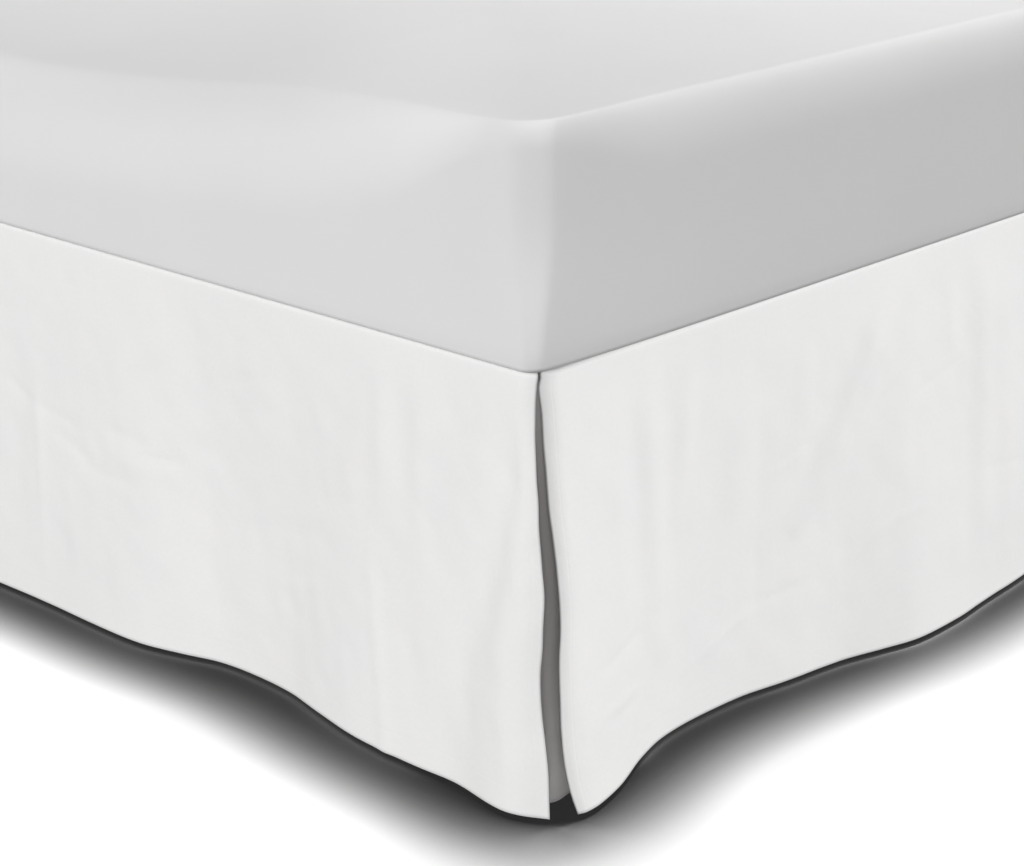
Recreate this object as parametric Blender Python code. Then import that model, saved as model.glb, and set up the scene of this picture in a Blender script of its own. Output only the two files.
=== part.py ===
"""Tailored bed skirt with split corners, hung on a plain bed: base, legs and mattress.

Metres, +Z up. X runs across the bed, Y along it with the foot at -Y, and Z = 0 is the floor.
The origin is the middle of the bounding box, on the floor.

A drop panel is a cloth sheet set out by two numbers: the distance along its seam from a foot
corner, and the share of its drop, 0 at the seam and 1 at the hem. Its middle surface is drawn
first, and the thickness is added evenly on both sides of it.
"""
import math
from collections import namedtuple

import bmesh
import bpy
from mathutils import Vector

# Cloth
SHEET = 0.0015  # thickness of every cloth piece
CLEAR = 0.0003  # gap between pieces that rest on each other
SEAM_HEIGHT = 0.380  # floor to the seam, which is also the top of the deck
HEM_HEIGHT = 0.006  # floor to the hem
TURN_IN = 0.020  # how far a panel lies in over the base before it meets the deck
BEND = 0.00375  # radius of the panels' bend over the base's edge, at mid-thickness
END_GAP = 0.0004  # half the gap between two panels at a corner of the seam
EDGE_GAP = 0.0004  # gap between the deck's edge and a panel's, and between insert and panel

# Base and legs
BASE_WIDTH = 1.500
BASE_LENGTH = 2.010
BASE_BOTTOM = 0.160
BASE_CORNER = 0.020  # radius of the upright corners
BASE_EDGE = 0.008  # radius of the top and bottom edges
INSERT_CLEAR = 0.0020  # base face to insert, so that hanging cloth clears it
BLOCK_EDGE_STEPS = 3
BLOCK_CORNER_STEPS = 4
LEG_RADIUS = 0.024
LEG_INSET = 0.110  # from the base's sides to a leg's middle
LEG_CHAMFER = 0.004
LEG_SIDES = 16

# Mattress
MATTRESS_OVERHANG = 0.010  # past the base on every side
MATTRESS_HEIGHT = 0.200
MATTRESS_CORNER = 0.034  # radius of the upright corners
MATTRESS_FOOT_RADIUS = 0.008  # radius of the bottom edge
MATTRESS_SIDE_STEPS = 10
MATTRESS_CORNER_STEPS = 4
FOOT_EDGE_STEPS = 2
RIM_RADIUS = 0.032  # radius of the top edge at the corners
RIM_RADIUS_SIDE = 0.050  # radius along the sides and the head
RIM_SIDE_REACH = 0.500  # distance from a corner where it is reached
RIM_RADIUS_FOOT = 0.095  # radius at the middle of the foot
RIM_SAG_FOOT = 0.032  # how far the rim sinks there
RIM_FOOT_POWER = 0.9  # under 1, the sag starts steeply at the corners
RIM_STEPS = 5
TOP_REACH = 0.140  # from the outline to the flat middle of the top

# The foot's hem swings out further than the mattress does at the head, so the bed stands a
# little towards the head, and the bounding box is centred on the origin.
BED_SHIFT = 0.0150

# Derived sizes
SEAM_MID = SEAM_HEIGHT - SHEET / 2
BASE_TOP = SEAM_HEIGHT - SHEET - CLEAR
HALF_WIDTH = BASE_WIDTH / 2
HALF_LENGTH = BASE_LENGTH / 2
INSERT_OUT = INSERT_CLEAR + SHEET / 2
PANEL_OUT = INSERT_CLEAR + SHEET + EDGE_GAP + SHEET / 2
PANEL_CORNER = BASE_CORNER + PANEL_OUT
DROP_TOP = SEAM_MID - BEND
DROP = DROP_TOP - HEM_HEIGHT

Wave = namedtuple("Wave", "along out")
Fold = namedtuple("Fold", "top hem depth width start end")
Panel = namedtuple("Panel", "name corner along out length closed lead waves folds fine")

# Hem lines, seen from above. A row is one turning place of the hem: how far along from the foot
# corner (negative is past it), and how far outside the seam.
FOOT_WAVES = (
    Wave(-0.027, 0.0185), Wave(-0.005, 0.0300), Wave(0.015, 0.0340), Wave(0.066, 0.0285),
    Wave(0.195, 0.0250), Wave(0.259, 0.0140), Wave(0.310, 0.0035), Wave(0.360, 0.0005),
    Wave(0.410, 0.0040), Wave(0.454, 0.0170), Wave(0.500, 0.0280), Wave(0.560, 0.0310),
    Wave(0.660, 0.0300), Wave(0.760, 0.0320), Wave(0.880, 0.0250), Wave(1.000, 0.0100),
    Wave(1.110, 0.0060), Wave(1.210, 0.0180), Wave(1.320, 0.0280), Wave(1.430, 0.0260),
    Wave(1.500, 0.0330), Wave(1.538, 0.0185),
)
RIGHT_WAVES = (
    Wave(0.003, 0.0382), Wave(0.012, 0.0410), Wave(0.031, 0.0400), Wave(0.068, 0.0300),
    Wave(0.115, 0.0110), Wave(0.156, -0.0010), Wave(0.203, -0.0060), Wave(0.271, -0.0020),
    Wave(0.324, 0.0080), Wave(0.396, 0.0190), Wave(0.442, 0.0320), Wave(0.491, 0.0440),
    Wave(0.559, 0.0440), Wave(0.601, 0.0400), Wave(0.685, 0.0330), Wave(0.800, 0.0180),
    Wave(0.930, 0.0120), Wave(1.070, 0.0260), Wave(1.220, 0.0380), Wave(1.380, 0.0240),
    Wave(1.520, 0.0090), Wave(1.680, 0.0180), Wave(1.850, 0.0300), Wave(2.020, 0.0240),
)
LEFT_WAVES = (
    Wave(0.003, 0.0400), Wave(0.030, 0.0410), Wave(0.085, 0.0260), Wave(0.150, 0.0060),
    Wave(0.230, -0.0020), Wave(0.330, 0.0090), Wave(0.450, 0.0260), Wave(0.580, 0.0400),
    Wave(0.720, 0.0300), Wave(0.860, 0.0140), Wave(1.020, 0.0200), Wave(1.180, 0.0360),
    Wave(1.340, 0.0440), Wave(1.500, 0.0300), Wave(1.680, 0.0130), Wave(1.860, 0.0210),
    Wave(2.020, 0.0260),
)

# Folds. A row is one soft ridge (depth over 0) or trough (under 0): its place along the seam
# and along the hem, its depth and width, and the share of the drop where it starts and ends.
# Those that end before the hem leave no mark there of their own: the hem table has it.
FOOT_FOLDS = (
    Fold(0.012, 0.064, -0.0050, 0.016, 0.05, 0.95),
    Fold(0.008, -0.004, 0.0035, 0.014, 0.05, 0.95),
    Fold(0.194, 0.160, 0.0040, 0.014, 0.04, 0.95),
    Fold(0.158, 0.138, -0.0030, 0.014, 0.10, 0.85),
    Fold(0.216, 0.208, -0.0020, 0.014, 0.05, 0.60),
    Fold(0.655, 0.660, -0.0025, 0.014, 0.25, 0.90),
    Fold(0.880, 0.930, -0.0050, 0.026, 0.10, 1.00),
    Fold(1.120, 1.160, 0.0045, 0.028, 0.05, 0.90),
    Fold(1.350, 1.330, -0.0040, 0.024, 0.10, 1.00),
    Fold(1.499, 1.450, -0.0050, 0.018, 0.05, 1.00),
)
RIGHT_FOLDS = (
    Fold(0.100, 0.088, 0.0035, 0.022, 0.05, 0.80),
    Fold(0.138, 0.134, -0.0050, 0.014, 0.05, 0.85),
    Fold(0.156, 0.162, 0.0030, 0.012, 0.06, 0.70),
    Fold(0.177, 0.182, -0.0035, 0.012, 0.05, 0.60),
    Fold(0.252, 0.240, -0.0030, 0.016, 0.10, 0.60),
    Fold(0.327, 0.326, -0.0025, 0.016, 0.08, 0.45),
    Fold(0.395, 0.290, 0.0050, 0.022, 0.02, 0.80),
    Fold(0.446, 0.322, -0.0090, 0.022, 0.02, 0.90),
    Fold(0.526, 0.492, 0.0060, 0.020, 0.02, 0.92),
    Fold(0.576, 0.546, 0.0050, 0.018, 0.02, 0.92),
    Fold(0.632, 0.602, -0.0100, 0.020, 0.02, 0.92),
    Fold(0.667, 0.660, 0.0050, 0.016, 0.02, 0.50),
    Fold(0.860, 0.900, -0.0060, 0.030, 0.02, 1.00),
    Fold(1.120, 1.080, 0.0060, 0.034, 0.02, 1.00),
    Fold(1.420, 1.460, -0.0060, 0.030, 0.02, 1.00),
    Fold(1.760, 1.720, 0.0050, 0.034, 0.02, 1.00),
)
LEFT_FOLDS = (
    Fold(0.120, 0.105, 0.0040, 0.030, 0.05, 0.90),
    Fold(0.190, 0.200, -0.0060, 0.026, 0.05, 1.00),
    Fold(0.500, 0.420, -0.0060, 0.030, 0.02, 1.00),
    Fold(0.800, 0.830, -0.0060, 0.032, 0.02, 1.00),
    Fold(1.110, 1.150, 0.0060, 0.036, 0.02, 1.00),
    Fold(1.440, 1.490, -0.0070, 0.034, 0.02, 1.00),
    Fold(1.780, 1.750, 0.0050, 0.036, 0.02, 1.00),
)

# Mesh steps
FINE_STEP = 0.018  # along a panel's finely folded stretch
COARSE_STEP = 0.042  # along the rest
FINE_END = 0.120  # length of the fine stretch before a second corner
CORNER_STEPS = 3
BEND_STEPS = 3
DROP_SHARES = (0.07, 0.20, 0.34, 0.48, 0.62, 0.76, 0.88, 1.00)

# How a panel hangs
LEAD_REACH = 0.070  # how far along the hem an end's lean past the corner is felt
LEAN_IN_POWER = 2.5  # a hem that swings in does so low down, below the base
BASE_SHARE = (DROP_TOP - BASE_BOTTOM) / DROP  # share of the drop at the base's underside
LIMIT_AT_BASE = -(PANEL_OUT - SHEET / 2 - INSERT_CLEAR)
LIMIT_BELOW = -0.012

# Corner inserts
INSERT_LEG = 0.110  # reach on each side of the corner
INSERT_STEP = 0.022
INSERT_FLARE = 0.0100  # how far the hem stands out at the corner
INSERT_FLARE_REACH = 0.070
INSERT_SHARES = (0.0, 0.18, 0.36, 0.52, 0.68, 0.84, 1.0)
INSERT_TOP = SEAM_HEIGHT - SHEET - BEND - 0.0020


def clear_scene():
    for old in list(bpy.data.objects):
        bpy.data.objects.remove(old, do_unlink=True)


def material(name, colour, roughness):
    finish = bpy.data.materials.new(name)
    finish.use_nodes = True
    shader = finish.node_tree.nodes["Principled BSDF"]
    shader.inputs["Base Color"].default_value = (*colour, 1.0)
    shader.inputs["Roughness"].default_value = roughness
    shader.inputs["Metallic"].default_value = 0.0
    return finish


def add_object(name, bm, finish, parent):
    """Turn a bmesh into a smooth-shaded object of its own, under the bed's empty."""
    mesh = bpy.data.meshes.new(name)
    bm.to_mesh(mesh)
    bm.free()
    mesh.materials.append(finish)
    mesh.shade_smooth()
    mesh.set_sharp_from_angle(angle=math.radians(40))
    piece = bpy.data.objects.new(name, mesh)
    bpy.context.collection.objects.link(piece)
    piece.parent = parent
    return piece


# ---- cloth ----

def smooth_step(value, low, high):
    share = min(max((value - low) / (high - low), 0.0), 1.0)
    return share * share * (3.0 - 2.0 * share)


def hem_swing(waves, along):
    """Smooth curve through the rows of a hem table, level past its first and last row."""
    if along <= waves[0].along:
        return waves[0].out
    if along >= waves[-1].along:
        return waves[-1].out
    i = max(k for k in range(len(waves) - 1) if waves[k].along <= along)
    here, there = waves[i], waves[i + 1]
    span = there.along - here.along

    def slope(k):
        before, after = waves[max(k - 1, 0)], waves[min(k + 1, len(waves) - 1)]
        return (after.out - before.out) / (after.along - before.along)

    t = (along - here.along) / span
    return (
        here.out * (1 + 2 * t) * (1 - t) ** 2
        + there.out * t * t * (3 - 2 * t)
        + slope(i) * span * t * (1 - t) ** 2
        - slope(i + 1) * span * t * t * (1 - t)
    )


def fold_depth(folds, along, share):
    """Sum of the folds at a place on a panel."""
    total = 0.0
    for fold in folds:
        centre = fold.top + (fold.hem - fold.top) * share
        across = math.exp(-(((along - centre) / fold.width) ** 2))
        fade_in = smooth_step(share, fold.start - 0.02, fold.start + 0.22)
        fade_out = 1.0
        if fold.end < 1.0:
            fade_out = 1.0 - smooth_step(share, fold.end - 0.20, fold.end + 0.05)
        total += fold.depth * across * fade_in * fade_out
    return total


def keep_off_base(out, share):
    """Ease an inward fold so that the cloth clears the base, and lies looser below it."""
    if out >= 0.0:
        return out
    loose = smooth_step(share, BASE_SHARE, BASE_SHARE + 0.25)
    limit = LIMIT_AT_BASE + (LIMIT_BELOW - LIMIT_AT_BASE) * loose
    return limit * (1.0 - math.exp(-out / limit))


def seam_stations(panel):
    """Places along the seam as (turn, along): the turn is the angle round the corner's arc."""
    last_turn = math.pi / 4 - END_GAP / PANEL_CORNER
    turns = [last_turn * (1 - k / CORNER_STEPS) for k in range(CORNER_STEPS)]
    first = [(turn, PANEL_CORNER) for turn in turns]
    run_end = panel.length - (PANEL_CORNER if panel.closed else 0.0)
    places = [PANEL_CORNER]
    while places[-1] < run_end:
        near_end = panel.closed and run_end - places[-1] < FINE_END
        fine = places[-1] < panel.fine or near_end
        places.append(places[-1] + (FINE_STEP if fine else COARSE_STEP))
    squeeze = (run_end - PANEL_CORNER) / (places[-1] - PANEL_CORNER)
    middle = [(0.0, PANEL_CORNER + (place - PANEL_CORNER) * squeeze) for place in places]
    last = [(-turn, run_end) for turn in reversed(turns)] if panel.closed else []
    return first + middle + last


def seam_point(turn, along, inset):
    """Distance along and out of a point on the seam's path, moved in by the inset."""
    radius = PANEL_CORNER - inset
    return along - radius * math.sin(turn), radius * math.cos(turn) - PANEL_CORNER


def hanging_point(panel, turn, along, share):
    """Distance along and out of a point of the drop, its folds and the hem's swing included."""
    seam_along, seam_out = seam_point(turn, along, 0.0)
    lean = panel.lead * math.exp(-seam_along / LEAD_REACH)
    hem_along = seam_along - lean
    if panel.closed:
        hem_along += panel.lead * math.exp(-(panel.length - seam_along) / LEAD_REACH)
    swing = hem_swing(panel.waves, hem_along)
    power = 1.0 if swing > 0.0 else LEAN_IN_POWER
    out = swing * share ** power + fold_depth(panel.folds, hem_along, share)
    out = keep_off_base(out, share) + seam_out * (1.0 - share)
    return seam_along + (hem_along - seam_along) * share, out


def panel_grid(panel):
    """Rows of points of a panel's middle surface, from its edge on the deck to its hem."""

    def place(along, out, height):
        spot = panel.corner + panel.along * along + panel.out * out
        return Vector((spot.x, spot.y, height))

    stations = seam_stations(panel)
    rows = [[place(*seam_point(turn, along, TURN_IN), SEAM_MID) for turn, along in stations]]
    for k in range(BEND_STEPS + 1):
        angle = math.pi / 2 * k / BEND_STEPS
        inset = BEND * (1.0 - math.sin(angle))
        height = SEAM_MID - BEND * (1.0 - math.cos(angle))
        rows.append([place(*seam_point(turn, along, inset), height) for turn, along in stations])
    for share in DROP_SHARES:
        height = DROP_TOP - DROP * share
        rows.append(
            [place(*hanging_point(panel, turn, along, share), height) for turn, along in stations]
        )
    return rows


def sheet_from_rows(name, rows, finish, parent, flip=False):
    """Make a cloth sheet on a grid of points, with even thickness on both sides of it."""
    bm = bmesh.new()
    grid = [[bm.verts.new(point) for point in row] for row in rows]
    for upper, lower in zip(grid, grid[1:]):
        for k in range(len(upper) - 1):
            corners = [upper[k], lower[k], lower[k + 1], upper[k + 1]]
            bm.faces.new(reversed(corners) if flip else corners)
    piece = add_object(name, bm, finish, parent)
    solid = piece.modifiers.new("cloth thickness", "SOLIDIFY")
    solid.thickness = SHEET
    solid.offset = 0.0
    solid.use_even_offset = True
    solid.use_rim = True
    return piece


def insert_rows(side):
    """Rows of a corner insert: a strip bent round one foot corner, flared at its hem."""
    corner = Vector((side * (HALF_WIDTH + INSERT_OUT), -(HALF_LENGTH + INSERT_OUT), 0.0))
    radius = BASE_CORNER + INSERT_OUT
    inward_x = Vector((-side, 0.0, 0.0))
    inward_y = Vector((0.0, 1.0, 0.0))
    steps = round((INSERT_LEG - radius) / INSERT_STEP)
    reach = [INSERT_LEG + (radius - INSERT_LEG) * k / steps for k in range(steps)]
    path = [(corner + inward_x * far, -inward_y, far) for far in reach]
    centre = corner + inward_x * radius + inward_y * radius
    arc_steps = 2 * CORNER_STEPS
    for k in range(arc_steps + 1):
        angle = math.pi / 2 * k / arc_steps
        normal = -inward_y * math.cos(angle) - inward_x * math.sin(angle)
        path.append((centre + normal * radius, normal, 0.0))
    path += [(corner + inward_y * far, -inward_x, far) for far in reversed(reach)]
    rows = []
    for share in INSERT_SHARES:
        height = INSERT_TOP + (HEM_HEIGHT - INSERT_TOP) * share
        row = []
        for spot, normal, far in path:
            flare = INSERT_FLARE * share * math.exp(-((far / INSERT_FLARE_REACH) ** 2))
            point = spot + normal * flare
            row.append(Vector((point.x, point.y, height)))
        rows.append(row)
    return rows


# ---- bed ----

def rounded_rectangle(half_x, half_y, radius, side_steps, corner_steps):
    """Loop of (x, y) points, anticlockwise from the foot's right corner."""

    def on_arc(corner, turn):
        sign_x, sign_y, start = corner
        angle = math.radians(start + turn)
        return (
            sign_x * (half_x - radius) + radius * math.cos(angle),
            sign_y * (half_y - radius) + radius * math.sin(angle),
        )

    corners = ((1, -1, -90), (1, 1, 0), (-1, 1, 90), (-1, -1, 180))
    points = []
    for k, corner in enumerate(corners):
        points += [on_arc(corner, 90 * step / corner_steps) for step in range(corner_steps + 1)]
        here, ahead = points[-1], on_arc(corners[(k + 1) % 4], 0)
        for step in range(1, side_steps):
            share = step / side_steps
            points.append(tuple(a + (b - a) * share for a, b in zip(here, ahead)))
    return points


def closed_loft(name, loops, finish, parent):
    """Solid from level or nearly level loops of equal length, bottom to top, capped flat."""
    bm = bmesh.new()
    rings = [[bm.verts.new(point) for point in loop] for loop in loops]
    for lower, upper in zip(rings, rings[1:]):
        for k in range(len(lower)):
            after = (k + 1) % len(lower)
            bm.faces.new((lower[k], lower[after], upper[after], upper[k]))
    bm.faces.new(list(reversed(rings[0])))
    bm.faces.new(rings[-1])
    bmesh.ops.triangulate(bm, faces=[face for face in bm.faces if len(face.verts) > 4])
    return add_object(name, bm, finish, parent)


def rounded_block(name, half_x, half_y, corner, edge, bottom, top, finish, parent):
    """Block with rounded upright corners and, where the edge radius isn't 0, rounded edges."""
    levels = [(0.0, 0.0)]
    if edge > 0.0:
        angles = [math.pi / 2 * k / BLOCK_EDGE_STEPS for k in range(BLOCK_EDGE_STEPS + 1)]
        levels = [(edge * (1 - math.sin(a)), edge * (1 - math.cos(a))) for a in angles]
    sides = [(inset, bottom + rise) for inset, rise in levels]
    sides += [(inset, top - rise) for inset, rise in reversed(levels)]
    loops = []
    for inset, height in sides:
        outline = rounded_rectangle(
            half_x - inset, half_y - inset, corner - inset, 1, BLOCK_CORNER_STEPS
        )
        loops.append([Vector((x, y, height)) for x, y in outline])
    return closed_loft(name, loops, finish, parent)


def rim_shape(x, y, half_x, half_y):
    """Radius and sag of the mattress's top rim at a place on its outline."""
    if y < MATTRESS_CORNER - half_y:
        share = math.sin(math.pi / 2 * (1.0 - abs(x) / half_x) ** RIM_FOOT_POWER)
        return RIM_RADIUS + (RIM_RADIUS_FOOT - RIM_RADIUS) * share, RIM_SAG_FOOT * share
    from_corner = max(half_x - abs(x), half_y - abs(y))
    share = smooth_step(from_corner, 0.0, RIM_SIDE_REACH)
    return RIM_RADIUS + (RIM_RADIUS_SIDE - RIM_RADIUS) * share, 0.0


def mattress(finish, parent):
    half_x = HALF_WIDTH + MATTRESS_OVERHANG
    half_y = HALF_LENGTH + MATTRESS_OVERHANG
    bottom = SEAM_HEIGHT + CLEAR
    top = bottom + MATTRESS_HEIGHT

    def outline_at(inset, radius):
        return rounded_rectangle(
            half_x - inset, half_y - inset, radius, MATTRESS_SIDE_STEPS, MATTRESS_CORNER_STEPS
        )

    outline = outline_at(0.0, MATTRESS_CORNER)
    inner = outline_at(TOP_REACH, MATTRESS_CORNER)
    loops = []
    for k in range(FOOT_EDGE_STEPS + 1):
        angle = math.pi / 2 * k / FOOT_EDGE_STEPS
        inset = MATTRESS_FOOT_RADIUS * (1 - math.sin(angle))
        rise = MATTRESS_FOOT_RADIUS * (1 - math.cos(angle))
        level = outline_at(inset, MATTRESS_CORNER - inset)
        loops.append([Vector((x, y, bottom + rise)) for x, y in level])
    for k in range(RIM_STEPS + 1):
        angle = math.pi / 2 * k / RIM_STEPS
        loop = []
        for (x, y), (inner_x, inner_y) in zip(outline, inner):
            radius, sag = rim_shape(x, y, half_x, half_y)
            inward = Vector((inner_x - x, inner_y - y, 0.0)).normalized()
            point = Vector((x, y, top - sag - radius)) + inward * radius * (1 - math.cos(angle))
            point.z += radius * math.sin(angle)
            loop.append(point)
        loops.append(loop)
    loops.append([Vector((x, y, top)) for x, y in inner])
    return closed_loft("mattress", loops, finish, parent)


def leg(name, x, y, finish, parent):
    """Plain round leg with a chamfered foot, standing on the floor."""
    top = BASE_BOTTOM - CLEAR
    levels = ((LEG_RADIUS - LEG_CHAMFER, 0.0), (LEG_RADIUS, LEG_CHAMFER), (LEG_RADIUS, top))
    turns = [2 * math.pi * k / LEG_SIDES for k in range(LEG_SIDES)]
    loops = []
    for radius, height in levels:
        loops.append([Vector((radius * math.cos(a), radius * math.sin(a), height)) for a in turns])
    piece = closed_loft(name, loops, finish, parent)
    piece.location = (x, y, 0.0)
    return piece


def main():
    clear_scene()
    bed = bpy.data.objects.new("bed_middle", None)
    bpy.context.collection.objects.link(bed)
    bed.location = (0.0, BED_SHIFT, 0.0)

    white_cotton = material("white_cotton", (0.84, 0.84, 0.83), 0.9)
    mattress_cover = material("mattress_cover", (0.66, 0.66, 0.66), 0.85)
    base_cloth = material("base_cloth", (0.62, 0.61, 0.59), 0.9)
    leg_black = material("leg_black", (0.03, 0.03, 0.03), 0.5)

    seam_x = HALF_WIDTH + PANEL_OUT
    seam_y = HALF_LENGTH + PANEL_OUT
    to_head = Vector((0.0, 1.0, 0.0))
    to_right = Vector((1.0, 0.0, 0.0))
    right_corner = Vector((seam_x, -seam_y, 0.0))
    left_corner = Vector((-seam_x, -seam_y, 0.0))
    side_length = HALF_LENGTH + seam_y
    panels = (
        Panel("panel_foot", right_corner, -to_right, -to_head, 2 * seam_x, True, 0.0380,
              FOOT_WAVES, FOOT_FOLDS, 0.74),
        Panel("panel_side_right", right_corner, to_head, to_right, side_length, False, 0.0041,
              RIGHT_WAVES, RIGHT_FOLDS, 0.72),
        Panel("panel_side_left", left_corner, to_head, -to_right, side_length, False, 0.0041,
              LEFT_WAVES, LEFT_FOLDS, 0.10),
    )
    for panel in panels:
        flip = panel.name != "panel_side_right"
        sheet_from_rows(panel.name, panel_grid(panel), white_cotton, bed, flip)
    sheet_from_rows("insert_right", insert_rows(1), white_cotton, bed)
    sheet_from_rows("insert_left", insert_rows(-1), white_cotton, bed, True)

    deck_in = TURN_IN + EDGE_GAP - PANEL_OUT
    rounded_block("deck", HALF_WIDTH - deck_in, HALF_LENGTH - deck_in, BASE_CORNER - deck_in, 0.0,
                  BASE_TOP + CLEAR, SEAM_HEIGHT, white_cotton, bed)
    rounded_block("base", HALF_WIDTH, HALF_LENGTH, BASE_CORNER, BASE_EDGE,
                  BASE_BOTTOM, BASE_TOP, base_cloth, bed)
    mattress(mattress_cover, bed)

    leg_x = HALF_WIDTH - LEG_INSET
    leg_y = HALF_LENGTH - LEG_INSET
    spots = {
        "leg_foot_right": (leg_x, -leg_y), "leg_foot_left": (-leg_x, -leg_y),
        "leg_mid_right": (leg_x, 0.0), "leg_mid_left": (-leg_x, 0.0), "leg_centre": (0.0, 0.0),
        "leg_head_right": (leg_x, leg_y), "leg_head_left": (-leg_x, leg_y),
    }
    for name, (x, y) in spots.items():
        leg(name, x, y, leg_black, bed)


main()
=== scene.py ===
"""Looks of a tailored bed skirt with split corners, hung on a plain bed.

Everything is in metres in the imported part's own frame: +Z up, X across the bed, Y along it
with the foot at -Y, and the floor at Z = 0. A panel of the skirt is set out as in the part:
the distance along its seam from a foot corner, and the share of its drop, from 0 at the seam
to 1 at the hem.
"""
import math
from collections import namedtuple

import bmesh
import bpy
import numpy as np
from mathutils import Matrix, Vector


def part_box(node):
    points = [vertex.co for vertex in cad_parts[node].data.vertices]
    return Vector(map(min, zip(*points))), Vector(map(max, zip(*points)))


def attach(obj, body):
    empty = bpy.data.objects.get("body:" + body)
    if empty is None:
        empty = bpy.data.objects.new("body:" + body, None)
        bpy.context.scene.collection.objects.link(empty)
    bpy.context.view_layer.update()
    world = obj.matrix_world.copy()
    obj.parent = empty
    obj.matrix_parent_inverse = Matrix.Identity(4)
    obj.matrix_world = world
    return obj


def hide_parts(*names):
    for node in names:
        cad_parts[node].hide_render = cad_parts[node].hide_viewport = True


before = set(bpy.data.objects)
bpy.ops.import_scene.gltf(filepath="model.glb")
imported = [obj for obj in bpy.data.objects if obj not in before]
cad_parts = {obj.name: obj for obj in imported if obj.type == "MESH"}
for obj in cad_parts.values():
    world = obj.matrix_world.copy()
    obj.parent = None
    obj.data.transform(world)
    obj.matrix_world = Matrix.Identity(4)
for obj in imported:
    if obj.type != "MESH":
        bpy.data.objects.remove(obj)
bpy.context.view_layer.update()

# ---- sizes, from the frame ----

BASE_LOW, BASE_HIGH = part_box("base")
MATTRESS_LOW, MATTRESS_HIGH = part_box("mattress")
SEAM_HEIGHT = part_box("deck")[1].z
BED_Y = (BASE_LOW.y + BASE_HIGH.y) / 2
HALF_WIDTH = (BASE_HIGH.x - BASE_LOW.x) / 2
HALF_LENGTH = (BASE_HIGH.y - BASE_LOW.y) / 2
HEM_HEIGHT = 0.006  # the hem hangs just off the floor
SHEET = 0.0015  # thickness of the part's cloth
CLOTH = 0.0011  # thickness of the cloth shown
TURN_IN = 0.020  # how far the cloth runs in under the mattress
BEND = 0.00375  # radius of its bend over the base's edge
END_GAP = 0.0006  # from the middle of a split corner to each panel's end, at the seam
INSERT_OUT = 0.00275  # base face to the insert's middle surface
PANEL_OUT = 0.00465  # base face to a panel's middle surface
BASE_CORNER = 0.020  # radius of the base's upright corners
PANEL_CORNER = BASE_CORNER + PANEL_OUT
SEAM_MID = SEAM_HEIGHT - SHEET / 2
DROP_TOP = SEAM_MID - BEND
DROP = DROP_TOP - HEM_HEIGHT
SEAM_X = HALF_WIDTH + PANEL_OUT
SEAM_Y = HALF_LENGTH + PANEL_OUT
FOOT_Y = BED_Y - SEAM_Y  # the seam across the foot

Wave = namedtuple("Wave", "along out")
Fold = namedtuple("Fold", "top hem depth width start end")
Crease = namedtuple("Crease", "along share to_along to_share depth width")
End = namedtuple("End", "share along")
Relief = namedtuple("Relief", "height size squeeze")

# A panel starts from a foot corner of the seam, and runs along and faces out as given. A closed
# one ends at the other foot corner. Its mesh is fine up to a distance along it.
Panel = namedtuple(
    "Panel", "name corner along out length closed ends waves folds creases fine seed"
)

# Upright edges of the panels at a foot corner: where the cloth ends, along from the corner, at
# a share of the drop. Negative is past the corner.
FOOT_ENDS = (
    End(0.00, 0.0076), End(0.02, 0.0086), End(0.08, 0.0088), End(0.14, 0.0076),
    End(0.25, 0.0027), End(0.37, -0.0025), End(0.48, -0.0092), End(0.60, -0.0105),
    End(0.67, -0.0100), End(0.77, -0.0143), End(0.88, -0.0228), End(1.00, -0.0274),
)
SIDE_ENDS = (
    End(0.00, 0.0076), End(0.02, 0.0046), End(0.08, 0.0057), End(0.19, 0.0040),
    End(0.30, 0.0036), End(0.43, 0.0049), End(0.54, 0.0036), End(0.65, -0.0027),
    End(0.77, -0.0063), End(0.87, -0.0070), End(0.94, -0.0030), End(1.00, 0.0034),
)

# Hem lines from above: distance along from the foot corner, and distance outside the seam.
FOOT_WAVES = (
    Wave(-0.027, 0.0185), Wave(-0.005, 0.0300), Wave(0.015, 0.0340), Wave(0.066, 0.0285),
    Wave(0.195, 0.0250), Wave(0.259, 0.0140), Wave(0.310, 0.0035), Wave(0.360, 0.0005),
    Wave(0.410, 0.0040), Wave(0.454, 0.0170), Wave(0.500, 0.0280), Wave(0.560, 0.0310),
    Wave(0.660, 0.0300), Wave(0.760, 0.0320), Wave(0.880, 0.0250), Wave(1.000, 0.0100),
    Wave(1.110, 0.0060), Wave(1.210, 0.0180), Wave(1.320, 0.0280), Wave(1.430, 0.0260),
    Wave(1.500, 0.0330), Wave(1.538, 0.0185),
)
RIGHT_WAVES = (
    Wave(0.003, 0.0382), Wave(0.012, 0.0410), Wave(0.031, 0.0400), Wave(0.068, 0.0300),
    Wave(0.115, 0.0110), Wave(0.156, -0.0010), Wave(0.203, -0.0060), Wave(0.271, -0.0020),
    Wave(0.324, 0.0080), Wave(0.396, 0.0190), Wave(0.442, 0.0320), Wave(0.491, 0.0440),
    Wave(0.559, 0.0440), Wave(0.601, 0.0400), Wave(0.685, 0.0330), Wave(0.800, 0.0180),
    Wave(0.930, 0.0120), Wave(1.070, 0.0260), Wave(1.220, 0.0380), Wave(1.380, 0.0240),
    Wave(1.520, 0.0090), Wave(1.680, 0.0180), Wave(1.850, 0.0300), Wave(2.020, 0.0240),
)
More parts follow.
